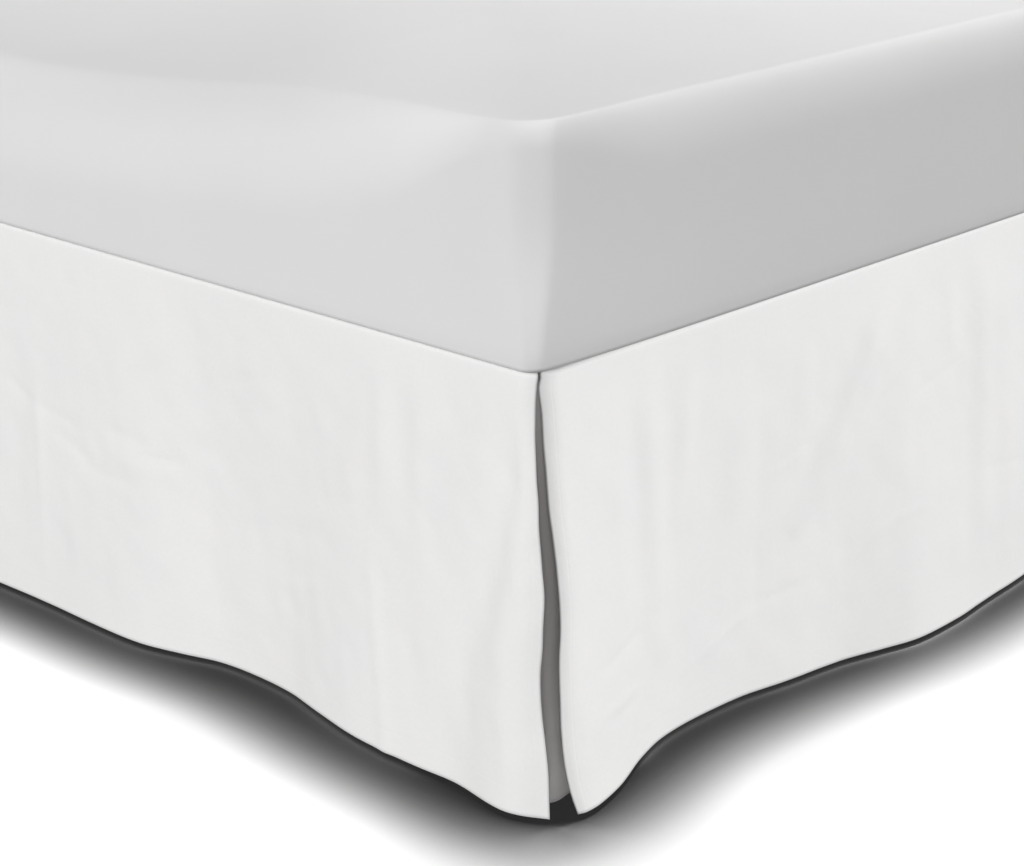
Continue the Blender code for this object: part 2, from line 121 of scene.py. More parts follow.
LEFT_WAVES = (
    Wave(0.003, 0.0400), Wave(0.030, 0.0410), Wave(0.085, 0.0260), Wave(0.150, 0.0060),
    Wave(0.230, -0.0020), Wave(0.330, 0.0090), Wave(0.450, 0.0260), Wave(0.580, 0.0400),
    Wave(0.720, 0.0300), Wave(0.860, 0.0140), Wave(1.020, 0.0200), Wave(1.180, 0.0360),
    Wave(1.340, 0.0440), Wave(1.500, 0.0300), Wave(1.680, 0.0130), Wave(1.860, 0.0210),
    Wave(2.020, 0.0260),
)

# Upright folds: place along the seam and along the hem, depth (over 0 a ridge), width, and the
# shares of the drop where the fold starts and ends.
FOOT_FOLDS = (
    Fold(-0.010, 0.078, -0.0055, 0.024, 0.04, 0.62),
    Fold(0.006, 0.080, -0.0025, 0.026, 0.42, 1.00),
    Fold(0.128, 0.120, 0.0015, 0.013, 0.04, 0.50),
    Fold(0.176, 0.166, 0.0024, 0.014, 0.04, 0.45),
    Fold(0.206, 0.200, 0.0012, 0.014, 0.10, 0.40),
    Fold(0.211, 0.161, 0.0012, 0.009, 0.42, 1.00),
    Fold(0.676, 0.646, 0.0012, 0.008, 0.30, 0.90),
    Fold(0.700, 0.690, -0.0018, 0.020, 0.25, 0.80),
    Fold(0.880, 0.930, -0.0040, 0.026, 0.10, 1.00),
    Fold(1.120, 1.160, 0.0040, 0.028, 0.05, 0.90),
    Fold(1.350, 1.330, -0.0040, 0.024, 0.10, 1.00),
    Fold(1.499, 1.450, -0.0040, 0.018, 0.05, 1.00),
)
RIGHT_FOLDS = (
    Fold(0.090, 0.082, 0.0021, 0.014, 0.12, 0.65),
    Fold(0.126, 0.153, 0.0054, 0.018, 0.02, 0.82),
    Fold(0.188, 0.152, 0.0034, 0.014, 0.03, 0.50),
    Fold(0.272, 0.225, 0.0024, 0.020, 0.12, 0.60),
    Fold(0.352, 0.330, 0.0019, 0.018, 0.08, 0.45),
    Fold(0.487, 0.244, 0.0063, 0.022, 0.03, 0.60),
    Fold(0.500, 0.490, 0.0027, 0.022, 0.03, 0.36),
    Fold(0.568, 0.563, 0.0026, 0.012, 0.04, 0.34),
    Fold(0.626, 0.602, 0.0048, 0.020, 0.02, 0.92),
    Fold(0.664, 0.644, 0.0042, 0.026, 0.02, 0.95),
    Fold(0.740, 0.740, 0.0080, 0.080, 0.30, 0.95),
    Fold(0.860, 0.900, -0.0050, 0.030, 0.02, 1.00),
    Fold(1.120, 1.080, 0.0050, 0.034, 0.02, 1.00),
    Fold(1.420, 1.460, -0.0050, 0.030, 0.02, 1.00),
    Fold(1.760, 1.720, 0.0050, 0.034, 0.02, 1.00),
)
LEFT_FOLDS = (
    Fold(0.120, 0.105, 0.0040, 0.030, 0.05, 0.90),
    Fold(0.190, 0.200, -0.0050, 0.026, 0.05, 1.00),
    Fold(0.500, 0.420, -0.0050, 0.030, 0.02, 1.00),
    Fold(0.800, 0.830, -0.0050, 0.032, 0.02, 1.00),
    Fold(1.110, 1.150, 0.0050, 0.036, 0.02, 1.00),
    Fold(1.440, 1.490, -0.0060, 0.034, 0.02, 1.00),
    Fold(1.780, 1.750, 0.0050, 0.036, 0.02, 1.00),
)

# Slanting creases, from one place on the panel to another.
FOOT_CREASES = (
    Crease(0.720, 0.40, 0.670, 0.45, -0.0008, 0.007),
    Crease(0.670, 0.45, 0.595, 0.475, -0.0008, 0.006),
    Crease(0.560, 0.45, 0.480, 0.455, -0.0008, 0.007),
    Crease(0.640, 0.50, 0.570, 0.56, -0.0008, 0.008),
    Crease(0.590, 0.575, 0.505, 0.575, -0.0008, 0.007),
    Crease(0.500, 0.49, 0.440, 0.48, -0.0007, 0.005),
    Crease(0.445, 0.43, 0.375, 0.43, -0.0010, 0.012),
    Crease(0.560, 0.51, 0.450, 0.53, 0.0008, 0.009),
    Crease(0.400, 0.24, 0.335, 0.19, -0.0005, 0.005),
    Crease(0.260, 0.46, 0.175, 0.38, -0.0005, 0.007),
    Crease(0.140, 0.34, 0.100, 0.42, -0.0004, 0.005),
    Crease(0.390, 0.60, 0.230, 0.53, -0.0005, 0.009),
    Crease(0.330, 0.72, 0.250, 0.66, 0.0004, 0.006),
)
RIGHT_CREASES = (
    Crease(0.500, 0.24, 0.444, 0.34, 0.0007, 0.004),
    Crease(0.440, 0.35, 0.395, 0.47, 0.0007, 0.004),
    Crease(0.585, 0.31, 0.490, 0.36, -0.0007, 0.004),
    Crease(0.490, 0.36, 0.420, 0.44, -0.0005, 0.004),
    Crease(0.360, 0.38, 0.296, 0.42, -0.0005, 0.004),
    Crease(0.352, 0.395, 0.300, 0.43, 0.0004, 0.004),
    Crease(0.520, 0.65, 0.462, 0.66, 0.0007, 0.005),
    Crease(0.466, 0.655, 0.395, 0.74, 0.0009, 0.005),
    Crease(0.350, 0.745, 0.285, 0.765, -0.0007, 0.005),
    Crease(0.290, 0.765, 0.196, 0.850, 0.0008, 0.005),
    Crease(0.048, 0.71, 0.128, 0.675, -0.0008, 0.005),
    Crease(0.048, 0.81, 0.125, 0.815, 0.0007, 0.005),
    Crease(0.055, 0.83, 0.115, 0.85, -0.0005, 0.005),
    Crease(0.690, 0.655, 0.605, 0.63, -0.0007, 0.005),
    Crease(0.330, 0.60, 0.310, 0.67, -0.0007, 0.010),
    Crease(0.200, 0.64, 0.175, 0.70, -0.0007, 0.010),
    Crease(0.570, 0.42, 0.590, 0.47, -0.0007, 0.008),
)

# Soft uneven relief of a panel, with marks of two sizes
RELIEFS = (Relief(0.00028, 0.045, 1.0), Relief(0.0005, 0.16, 1.6))
RELIEF_TOP_EASE = 0.12  # share of the drop where the relief is at its full height
RELIEF_HEM_FROM = 0.85  # and where it starts to level off towards the hem
RELIEF_HEM_LOSS = 0.7  # share of it that is lost at the hem

# How a panel hangs
LEAD_REACH = 0.070  # how far along a panel the lean of its end is felt
LEAN_IN_POWER = 2.5  # cloth that swings in does so mostly below the base
FOLD_START_EASE = (-0.02, 0.22)  # shares of the drop, round its start, where a fold grows
FOLD_END_EASE = (-0.20, 0.05)  # and round its end, where it fades
CREASE_START_EASE = (-0.1, 0.25)  # the same along a crease, in shares of its length
CREASE_END_EASE = (0.75, 1.1)
BASE_SHARE = (DROP_TOP - BASE_LOW.z) / DROP  # the drop's share at the base's lower edge
LIMIT_AT_BASE = -0.0019  # how far in the cloth may go in front of the base
LIMIT_BELOW = -0.012  # and well below it
LIMIT_EASE = 0.25  # share of the drop between the two
BEND_EXTRA = 0.002  # flat height that the bend over the base's edge takes up

# Fine mesh of the cloth
FINE_STEP = 0.0032
COARSE_STEP = 0.0120
ROW_STEP = 0.0032
CORNER_STEPS = 9
BEND_STEPS = 6

# Corner inserts
INSERT_LEG = 0.110  # how far an insert runs from its corner, each way
INSERT_STEP = 0.005
INSERT_FLARE = 0.0110  # how far it stands out at the hem
INSERT_FLARE_REACH = 0.070  # how far from the corner that is felt
INSERT_HEM_CORNER = 0.010  # corner radius at the hem, where nothing holds the cloth
INSERT_TIGHT_FROM = BASE_SHARE - 0.1  # share of its drop where the corner starts to tighten
INSERT_WAVE = 0.0006  # height of its gentle unevenness,
INSERT_WAVE_SIZE = 0.035  # the size of its marks,
INSERT_WAVE_FROM = 0.5  # and the share of the drop where it starts
INSERT_CLEAR = 0.0020  # from the bend of a panel's cloth down to the insert's top
INSERT_TOP = SEAM_HEIGHT - SHEET - BEND - INSERT_CLEAR

# Mattress
MATTRESS_X = (MATTRESS_HIGH.x - MATTRESS_LOW.x) / 2
MATTRESS_Y = (MATTRESS_HIGH.y - MATTRESS_LOW.y) / 2
MATTRESS_CORNER = 0.030
MATTRESS_CORNER_LOW = 0.015  # radius of the upright corners at the bottom
CORNER_FULL = 0.5  # share of the height where the corners have their full radius and pull
MATTRESS_STEPS = (96, 12)  # points along a side, and round a corner
EDGE_ROWS, SIDE_ROWS, RIM_ROWS, TOP_ROWS = 5, 12, 19, 14  # rows of points, bottom to top
MATTRESS_FOOT_RADIUS = 0.005  # of the edge round its bottom
SIDE_PULL = 0.006  # how far the cover draws the side faces in at an upright corner
SIDE_PULL_REACH = 0.080
FOOT_PULL = 0.010  # and the foot and head faces, at half height
FOOT_PULL_REACH = 0.030
BOW = 0.007  # how far the side faces bow back towards the corners
BOW_REACH = 0.150
BOW_AT_BOTTOM = 0.4  # share of the bow at the bottom
RIM_IN = 0.022  # how far in from the sides the top starts to round off
RIM_IN_FOOT = 0.074  # and from the foot
RIM_DOWN = 0.056  # how far down the rounding reaches
RIM_DOWN_FOOT = 0.100
RIM_AT_CORNER = 0.40  # share of those sizes left at a corner
RIM_CORNER_EASE = (0.015, 0.170)  # distances from a corner between which they grow to the whole
RIM_REACH = 0.350  # distance from a corner where the foot's own sizes are reached
RIM_SAG_FOOT = 0.050  # how far the rim sinks at the middle of the foot
RIM_FOOT_POWER = 1.4  # over 1, so that it starts to sink gently beside the corners
TOP_REACH = 0.580  # how far in from the outline the top is level

# Base and legs
BASE_EDGE = 0.008
BASE_STEPS = (24, 10)  # points along a side, and round a corner
BASE_EDGE_STEPS = 6
LEG_EASE = 0.004  # radius of a leg's lower edge
LEG_CHAMFER = 0.001  # chamfer of its upper edge
LEG_SIDES = 48

# Cotton: heights in mm, and lengths in metres
WEAVE_HEIGHT = 0.010
NAP_HEIGHT = 0.030
DIMPLE_HEIGHT = 0.12
CRINKLE_HEIGHT = 0.9
CRINKLE_GRAIN = 0.10
CRINKLE_SOFTNESS = 0.0009  # rounds the bottom of the crinkle lines
STITCH_HEIGHT = -0.06
STITCH_WIDTH = 0.0012
STITCH_PITCH = 0.0032
HEM_STITCH = 0.022  # from the hem to its line of stitches
END_STITCH = 0.010  # and from a panel's end


# ---- materials ----

def new_material(name, colour, roughness, sheen=0.0):
    """A material, its node tree and its shader."""
    finish = bpy.data.materials.new(name)
    finish.use_nodes = True
    tree = finish.node_tree
    shader = tree.nodes["Principled BSDF"]
    shader.inputs["Base Color"].default_value = (*colour, 1.0)
    shader.inputs["Roughness"].default_value = roughness
    shader.inputs["Specular IOR Level"].default_value = 0.25
    shader.inputs["Sheen Weight"].default_value = sheen
    shader.inputs["Sheen Roughness"].default_value = 0.5
    return finish, tree, shader


def add_node(tree, kind, **settings):
    """A node with its settings; a setting whose name is a socket's is set on that socket."""
    made = tree.nodes.new(kind)
    for key, value in settings.items():
        if key in made.inputs:
            made.inputs[key].default_value = value
        else:
            setattr(made, key, value)
    return made


def maths(tree, operation, first, second=None, third=None):
    """Result of a maths node on numbers or other nodes' outputs."""
    made = tree.nodes.new("ShaderNodeMath")
    made.operation = operation
    for socket, value in zip(made.inputs, (first, second, third)):
        if value is None:
            continue
        if isinstance(value, (int, float)):
            socket.default_value = value
        else:
            tree.links.new(value, socket)
    return made.outputs[0]


def tinted(tree, factor, low, high):
    """Colour that runs from low to high over the middle of a noise's range."""
    ramp = tree.nodes.new("ShaderNodeValToRGB")
    for element, place, colour in zip(ramp.color_ramp.elements, (0.3, 0.7), (low, high)):
        element.position = place
        element.color = (*colour, 1.0)
    tree.links.new(factor, ramp.inputs["Fac"])
    return ramp.outputs["Color"]


def ranged(tree, value, start=0.0, stop=1.0, low=0.0, high=1.0):
    """Number that runs from low to high while the value runs from start to stop."""
    made = tree.nodes.new("ShaderNodeMapRange")
    ends = {"From Min": start, "From Max": stop, "To Min": low, "To Max": high}
    for socket, number in ends.items():
        made.inputs[socket].default_value = number
    tree.links.new(value, made.inputs["Value"])
    return made.outputs["Result"]


def noise(tree, vector, scale, detail=2.0, roughness=0.5, distortion=0.0):
    made = add_node(tree, "ShaderNodeTexNoise", Scale=scale, Detail=detail,
                    Roughness=roughness, Distortion=distortion)
    tree.links.new(vector, made.inputs["Vector"])
    return made.outputs["Fac"]


def add_relief(tree, shader, height, strength, distance):
    """Relief on a shader; the distance is what a height of 1 stands for."""
    bump = add_node(tree, "ShaderNodeBump", Strength=strength, Distance=distance)
    tree.links.new(height, bump.inputs["Height"])
    tree.links.new(bump.outputs["Normal"], shader.inputs["Normal"])


def layer_axes(tree, layer):
    """A UV layer's vector, and its two axes as numbers."""
    uv = add_node(tree, "ShaderNodeUVMap", uv_map=layer).outputs["UV"]
    split = tree.nodes.new("ShaderNodeSeparateXYZ")
    tree.links.new(uv, split.inputs[0])
    return uv, split.outputs["X"], split.outputs["Y"]


def sine_wave(tree, place, pitch):
    """Sine that goes round once in each pitch."""
    return maths(tree, "SINE", maths(tree, "MULTIPLY", place, 2 * math.pi / pitch))


def crinkles(tree, uv):
    """Soft lines, as left by folding and washing, in some patches of the cloth only."""
    patches = ranged(tree, noise(tree, uv, scale=9.0, detail=1.0), start=0.42, stop=0.62)
    off = maths(tree, "SUBTRACT", noise(tree, uv, scale=30.0, distortion=0.5), 0.5)
    line = maths(tree, "SQRT", maths(tree, "MULTIPLY_ADD", off, off, CRINKLE_SOFTNESS))
    streaks = tree.nodes.new("ShaderNodeMapping")  # fine marks, longer along than down
    streaks.inputs["Scale"].default_value = (110.0, 330.0, 1.0)
    tree.links.new(uv, streaks.inputs["Vector"])
    fine = noise(tree, streaks.outputs["Vector"], scale=1.0)
    line = maths(tree, "MULTIPLY", line, CRINKLE_HEIGHT)
    height = maths(tree, "MULTIPLY_ADD", fine, CRINKLE_GRAIN, line)
    return maths(tree, "MULTIPLY", height, patches)


def stitched(tree, height, across, down):
    """The height with a line of stitches along the hem, and one along each end."""
    from_ends, from_hem = layer_axes(tree, "edges")[1:]
    for from_edge, run, reach in ((from_hem, across, HEM_STITCH), (from_ends, down, END_STITCH)):
        off = maths(tree, "ABSOLUTE", maths(tree, "SUBTRACT", from_edge, reach))
        line = maths(tree, "SUBTRACT", 1.0, maths(tree, "DIVIDE", off, STITCH_WIDTH))
        line = maths(tree, "MAXIMUM", line, 0.0)
        dash = maths(tree, "MULTIPLY_ADD", sine_wave(tree, run, STITCH_PITCH), 0.5, 1.0)
        line = maths(tree, "MULTIPLY", line, dash)
        height = maths(tree, "MULTIPLY_ADD", line, STITCH_HEIGHT, height)
    return height


def cotton(name, colour, thread):
    """Creased plain-weave cotton on the cloth's own UV, in metres, its hems stitched."""
    finish, tree, shader = new_material(name, colour, roughness=0.9, sheen=0.1)
    uv, across, down = layer_axes(tree, "cloth")
    clouds = noise(tree, uv, scale=11.0, detail=3.0)
    specks = noise(tree, uv, scale=240.0)
    tone = maths(tree, "MULTIPLY_ADD", specks, 0.5, maths(tree, "MULTIPLY", clouds, 0.5))
    warm = tuple(c * k for c, k in zip(colour, (1.020, 1.014, 1.004)))
    cool = tuple(c * k for c, k in zip(colour, (0.976, 0.982, 0.992)))
    tree.links.new(tinted(tree, tone, cool, warm), shader.inputs["Base Color"])
    weave = maths(tree, "MULTIPLY", sine_wave(tree, across, thread), sine_wave(tree, down, thread))
    height = maths(tree, "MULTIPLY", weave, WEAVE_HEIGHT)
    nap = noise(tree, uv, scale=900.0)
    height = maths(tree, "MULTIPLY_ADD", nap, NAP_HEIGHT, height)
    dimples = noise(tree, uv, scale=90.0, detail=3.0, roughness=0.55)
    height = maths(tree, "MULTIPLY_ADD", dimples, DIMPLE_HEIGHT, height)
    height = maths(tree, "ADD", crinkles(tree, uv), height)
    add_relief(tree, shader, stitched(tree, height, across, down), strength=1.0, distance=0.001)
    return finish


def soft_cover(name, colour, grain):
    """Smooth knitted or brushed cover, its grain in the object's own space."""
    finish, tree, shader = new_material(name, colour, roughness=0.8, sheen=0.15)
    place = tree.nodes.new("ShaderNodeTexCoord").outputs["Object"]
    low = tuple(c * 0.988 for c in colour)
    high = tuple(c * 1.008 for c in colour)
    tone = noise(tree, place, scale=5.0, detail=3.0)
    tree.links.new(tinted(tree, tone, low, high), shader.inputs["Base Color"])
    height = noise(tree, place, scale=grain)
    for scale, amount in ((70.0, 1.5), (17.0, 4.0)):
        marks = noise(tree, place, scale, detail=3.0)
        height = maths(tree, "MULTIPLY_ADD", marks, amount, height)
    add_relief(tree, shader, height, strength=0.3, distance=0.0003)
    return finish


def moulded_plastic(name, colour):
    """Plastic with a fine grain that dulls it unevenly."""
    finish, tree, shader = new_material(name, colour, roughness=0.45)
    place = tree.nodes.new("ShaderNodeTexCoord").outputs["Object"]
    grain = noise(tree, place, scale=700.0)
    tree.links.new(ranged(tree, grain, low=0.38, high=0.58), shader.inputs["Roughness"])
    add_relief(tree, shader, grain, strength=0.2, distance=0.0002)
    return finish


# ---- cloth ----

def add_object(name, data):
    made = bpy.data.objects.new(name, data)
    bpy.context.collection.objects.link(made)
    return made


def smooth_step(value, low, high):
    share = np.clip((value - low) / (high - low), 0.0, 1.0)
    return share * share * (3.0 - 2.0 * share)


def through(rows, at):
    """Smooth curve through a table's rows of place and value, level past its ends."""
    places, values = np.array(rows).T
    slopes = np.empty(len(places))
    slopes[1:-1] = (values[2:] - values[:-2]) / (places[2:] - places[:-2])
    slopes[0] = (values[1] - values[0]) / (places[1] - places[0])
    slopes[-1] = (values[-1] - values[-2]) / (places[-1] - places[-2])
    held = np.clip(at, places[0], places[-1])
    i = np.clip(np.searchsorted(places, held, side="right") - 1, 0, len(places) - 2)
    span = places[i + 1] - places[i]
    t = (held - places[i]) / span
    return (
        values[i] * (1 + 2 * t) * (1 - t) ** 2
        + values[i + 1] * t * t * (3 - 2 * t)
        + slopes[i] * span * t * (1 - t) ** 2
        - slopes[i + 1] * span * t * t * (1 - t)
    )


def fold_depth(folds, along, share):
    """Sum of the upright folds over a panel."""
    total = np.zeros(np.broadcast(along, share).shape)
    for fold in folds:
        centre = fold.top + (fold.hem - fold.top) * share
        across = np.exp(-(((along - centre) / fold.width) ** 2))
        fade = smooth_step(share, *(fold.start + ease for ease in FOLD_START_EASE))
        if fold.end < 1.0:
            fade = fade * (1.0 - smooth_step(share, *(fold.end + ease for ease in FOLD_END_EASE)))
        total += fold.depth * across * fade
    return total


def crease_depth(creases, along, share):
    """Sum of the slanting creases, each a soft line that fades out at both ends."""
    total = np.zeros(np.broadcast(along, share).shape)
    down = share * DROP
    for crease in creases:
        start = np.array((crease.along, crease.share * DROP))
        line = np.array((crease.to_along, crease.to_share * DROP)) - start
        length = np.hypot(*line)
        line = line / length
        ahead = (along - start[0]) * line[0] + (down - start[1]) * line[1]
        off = (along - start[0]) * line[1] - (down - start[1]) * line[0]
        fade = smooth_step(ahead, *(ease * length for ease in CREASE_START_EASE))
        fade = fade * (1.0 - smooth_step(ahead, *(ease * length for ease in CREASE_END_EASE)))
        total += crease.depth * fade * np.exp(-((off / crease.width) ** 2))
    return total


def ripples(along, down, seed, size, squeeze=1.0, count=40):
    """Gentle uneven relief, about -1 to 1.

    Its marks are about as long as the size given, and shorter along the cloth by the squeeze.
    """
    draw = np.random.default_rng(seed)
    total = np.zeros(np.broadcast(along, down).shape)
    for _ in range(count):
        turn = draw.uniform(0.0, math.pi)
        pitch = size * draw.uniform(0.6, 1.8)
        phase = draw.uniform(0.0, 2 * math.pi)
        run = along * math.cos(turn) * squeeze + down * math.sin(turn)
        total += np.cos(2 * math.pi * run / pitch + phase)
    return total / math.sqrt(count)


def keep_off_base(out, share):
    """Ease an inward fold so that the cloth clears the base, and lies looser below it."""
    loose = smooth_step(share, BASE_SHARE, BASE_SHARE + LIMIT_EASE)
    limit = LIMIT_AT_BASE + (LIMIT_BELOW - LIMIT_AT_BASE) * loose
    inward = np.minimum(out, 0.0)
    return np.where(out >= 0.0, out, limit * (1.0 - np.exp(-inward / limit)))


def seam_stations(panel):
    """For each column of a panel: its turn round a foot corner's arc, and its place along."""
    last_turn = math.pi / 4 - END_GAP / PANEL_CORNER
    turns = np.linspace(last_turn, 0.0, CORNER_STEPS + 1)[:-1]
    run_end = panel.length - (PANEL_CORNER if panel.closed else 0.0)
    places = [PANEL_CORNER]
    while places[-1] < run_end:
        fine = places[-1] < panel.fine
        places.append(places[-1] + (FINE_STEP if fine else COARSE_STEP))
    places = np.array(places)
    places = PANEL_CORNER + (places - PANEL_CORNER) * (
        (run_end - PANEL_CORNER) / (places[-1] - PANEL_CORNER)
    )
    turn = np.concatenate([turns, np.zeros(len(places))])
    along = np.concatenate([np.full(len(turns), PANEL_CORNER), places])
    if panel.closed:
        turn = np.concatenate([turn, -turns[::-1]])
        along = np.concatenate([along, np.full(len(turns), run_end)])
    return turn, along


def seam_line(turn, along, inset):
    """The seam's line, or one inside it: places along a panel, and outside its seam."""
    radius = PANEL_CORNER - inset
    return along - radius * np.sin(turn), radius * np.cos(turn) - PANEL_CORNER


def drop_rows(panel, seam_along, seam_out, share):
    """Places along a panel, and outside its seam, of its rows at some shares of the drop."""
    lean = through(panel.ends, share) - seam_along[0]
    near = np.exp((seam_along[0] - seam_along) / LEAD_REACH)
    if panel.closed:
        near = near - near[::-1]
    lengthways = seam_along + lean * near
    hem_along = lengthways[-1]
    swing = through(panel.waves, hem_along)
    power = np.where(swing > 0.0, 1.0, LEAN_IN_POWER)
    out = swing * share ** power
    out = out + fold_depth(panel.folds, hem_along, share)
    out = out + crease_depth(panel.creases, hem_along, share)
    relief = sum(
        layer.height
        * ripples(hem_along, share * DROP, panel.seed + k, layer.size, layer.squeeze)
        for k, layer in enumerate(RELIEFS)
    )
    relief = relief * smooth_step(share, 0.0, RELIEF_TOP_EASE)
    relief = relief * (1.0 - RELIEF_HEM_LOSS * smooth_step(share, RELIEF_HEM_FROM, 1.0))
    return lengthways, keep_off_base(out + relief, share) + seam_out * (1.0 - share)


def uv_layers(along, down, ends):
    """UV layers in metres: the place on the cloth, and the distance from its ends and hem."""
    return {
        "cloth": np.stack(np.meshgrid(along, down), axis=-1),
        "edges": np.stack(np.meshgrid(ends, down[-1] - down), axis=-1),
    }


def panel_grid(panel):
    """Points of a panel's middle surface, rows from the deck to the hem, and its UV layers."""
    turn, along = seam_stations(panel)
    rows = [(*seam_line(turn, along, TURN_IN), np.full(len(turn), SEAM_MID))]
    down = [0.0, TURN_IN - BEND]
    for k in range(BEND_STEPS + 1):
        angle = math.pi / 2 * k / BEND_STEPS
        height = SEAM_MID - BEND * (1.0 - math.cos(angle))
        line = seam_line(turn, along, BEND * (1.0 - math.sin(angle)))
        rows.append((*line, np.full(len(turn), height)))
        if k > 0:
            down.append(down[1] + BEND * math.pi / 2 * k / BEND_STEPS)
    steps = round(DROP / ROW_STEP)
    shares = np.arange(1, steps + 1) / steps
    lengthways, out = drop_rows(panel, *seam_line(turn, along, 0.0), shares[:, None])
    for k, share in enumerate(shares):
        rows.append((lengthways[k], out[k], np.full(len(turn), DROP_TOP - DROP * share)))
    down += [down[-1] + DROP * share for share in shares]
    grid = np.array(rows)
    points = (
        np.array(panel.corner)
        + grid[:, 0, :, None] * np.array(panel.along)
        + grid[:, 1, :, None] * np.array(panel.out)
    )
    points[..., 2] = grid[:, 2]
    hem_along = lengthways[-1]
    ends = hem_along - hem_along[0]
    if panel.closed:
        far = panel.length - hem_along
        ends = np.minimum(ends, far - far[-1])
    return points, uv_layers(hem_along, np.array(down), ends)


def hung_cloth(name, points, layers, finish, flip, flat, rests_on):
    """Cloth on a grid of points, thickened evenly, with its UV layers."""
    row_count, column_count = points.shape[:2]
    index = np.arange(row_count * column_count).reshape(row_count, column_count)
    quads = np.stack(
        [index[:-1, :-1], index[1:, :-1], index[1:, 1:], index[:-1, 1:]], axis=-1
    ).reshape(-1, 4)
    if flip:
        quads = quads[:, ::-1]
    mesh = bpy.data.meshes.new(name + "_cloth")
    mesh.from_pydata(points.reshape(-1, 3).tolist(), [], quads.tolist())
    for layer_name, values in layers.items():
        layer = mesh.uv_layers.new(name=layer_name)
        places = values.reshape(-1, 2)[quads.reshape(-1)]
        layer.data.foreach_set("uv", places.astype(np.float32).ravel())
    mesh.materials.append(finish)
    mesh.shade_smooth()
    piece = add_object(name + "_cloth", mesh)
    solid = piece.modifiers.new("cloth thickness", "SOLIDIFY")
    solid.thickness = CLOTH
    solid.offset = 0.0
    solid.use_even_offset = True
    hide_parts(name)
    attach(piece, "root")
    return piece


def skirt_panel(panel, finish, flip, flat_length):
    flat = (flat_length, TURN_IN + DROP + BEND_EXTRA)
    return hung_cloth(panel.name, *panel_grid(panel), finish, flip, flat, rests_on=["base"])


def insert_section(corner, inward_x, inward_y, share):
    """Level section of an insert: its points, their outward normals, and how far they are.

    That is the distance from the sharp corner along either leg, and 0 on the arc.
    """
    radius = BASE_CORNER + INSERT_OUT
    radius += (INSERT_HEM_CORNER - radius) * smooth_step(share, INSERT_TIGHT_FROM, 1.0)
    reach = np.linspace(INSERT_LEG, radius, round(INSERT_LEG / INSERT_STEP) + 1)[:-1]
    arc_steps = 2 * CORNER_STEPS
    spots = [corner + inward_x * far for far in reach]
    normals = [-inward_y for _ in reach]
    centre = corner + inward_x * radius + inward_y * radius
    for k in range(arc_steps + 1):
        angle = math.pi / 2 * k / arc_steps
        normal = -inward_y * math.cos(angle) - inward_x * math.sin(angle)
        spots.append(centre + normal * radius)
        normals.append(normal)
    spots += [corner + inward_y * far for far in reach[::-1]]
    normals += [-inward_x for _ in reach]
    far = np.concatenate([reach, np.zeros(arc_steps + 1), reach[::-1]])
    return np.array(spots), np.array(normals), far


def corner_insert(name, side, finish, flip, seed):
    """Backing strip of a split corner: bent round the base, and flared at its hem."""
    corner = np.array((side * (HALF_WIDTH + INSERT_OUT), BED_Y - HALF_LENGTH - INSERT_OUT, 0.0))
    inward_x, inward_y = np.array((-side, 0.0, 0.0)), np.array((0.0, 1.0, 0.0))
    drop = INSERT_TOP - HEM_HEIGHT
    shares = np.linspace(0.0, 1.0, round(drop / INSERT_STEP) + 1)
    rows = []
    for share in shares:
        spots, normals, far = insert_section(corner, inward_x, inward_y, share)
        along = np.cumsum(np.linalg.norm(np.diff(spots, axis=0), axis=1))
        along = np.concatenate([[0.0], along])
        flare = INSERT_FLARE * share * np.exp(-((far / INSERT_FLARE_REACH) ** 2))
        wave = INSERT_WAVE * smooth_step(share, INSERT_WAVE_FROM, 1.0)
        flare = flare + wave * (1.0 + ripples(along, share * drop, seed, INSERT_WAVE_SIZE))
        row = spots + normals * flare[:, None]
        row[:, 2] = INSERT_TOP - drop * share
        rows.append(row)
    layers = uv_layers(along, shares * drop, np.minimum(along, along[-1] - along))
    flat = (float(along[-1]), drop)
    return hung_cloth(name, np.array(rows), layers, finish, flip, flat, rests_on=["panel_foot"])


# ---- bed ----

def rounded_rectangle(half_x, half_y, radius, side_steps, corner_steps):
    """Points of a rounded rectangle about the bed's middle, anticlockwise."""

    def on_arc(corner, turn):
        sign_x, sign_y, start = corner
        angle = math.radians(start + turn)
        return (
            sign_x * (half_x - radius) + radius * math.cos(angle),
            sign_y * (half_y - radius) + radius * math.sin(angle),
        )

    corners = ((1, -1, -90), (1, 1, 0), (-1, 1, 90), (-1, -1, 180))
    points = []
    for k, corner in enumerate(corners):
        points += [on_arc(corner, 90 * step / corner_steps) for step in range(corner_steps + 1)]
        here, ahead = points[-1], on_arc(corners[(k + 1) % 4], 0)
        for step in range(1, side_steps):
            share = step / side_steps
            points.append(tuple(a + (b - a) * share for a, b in zip(here, ahead)))
    return np.array(points)


def closed_loft(name, loops, finish):
    """Solid from loops of equal length, bottom to top, capped at both ends."""
    bm = bmesh.new()
    rings = [[bm.verts.new(point) for point in loop] for loop in loops]
    for lower, upper in zip(rings, rings[1:]):
        for k in range(len(lower)):
            after = (k + 1) % len(lower)
            bm.faces.new((lower[k], lower[after], upper[after], upper[k]))
    bm.faces.new(list(reversed(rings[0])))
    bm.faces.new(rings[-1])
    bmesh.ops.triangulate(bm, faces=[face for face in bm.faces if len(face.verts) > 4])
    mesh = bpy.data.meshes.new(name)
    bm.to_mesh(mesh)
    bm.free()
    mesh.materials.append(finish)
    mesh.shade_smooth()
    mesh.set_sharp_from_angle(angle=math.radians(50))
    piece = add_object(name, mesh)
    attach(piece, "root")
    return piece


def lifted(outline, height, shift_y=BED_Y):
    """3-D points of an outline, at one height or at a height for each point."""
    points = np.zeros((len(outline), 3))
    points[:, :2] = outline
    points[:, 1] += shift_y
    points[:, 2] = height
    return points


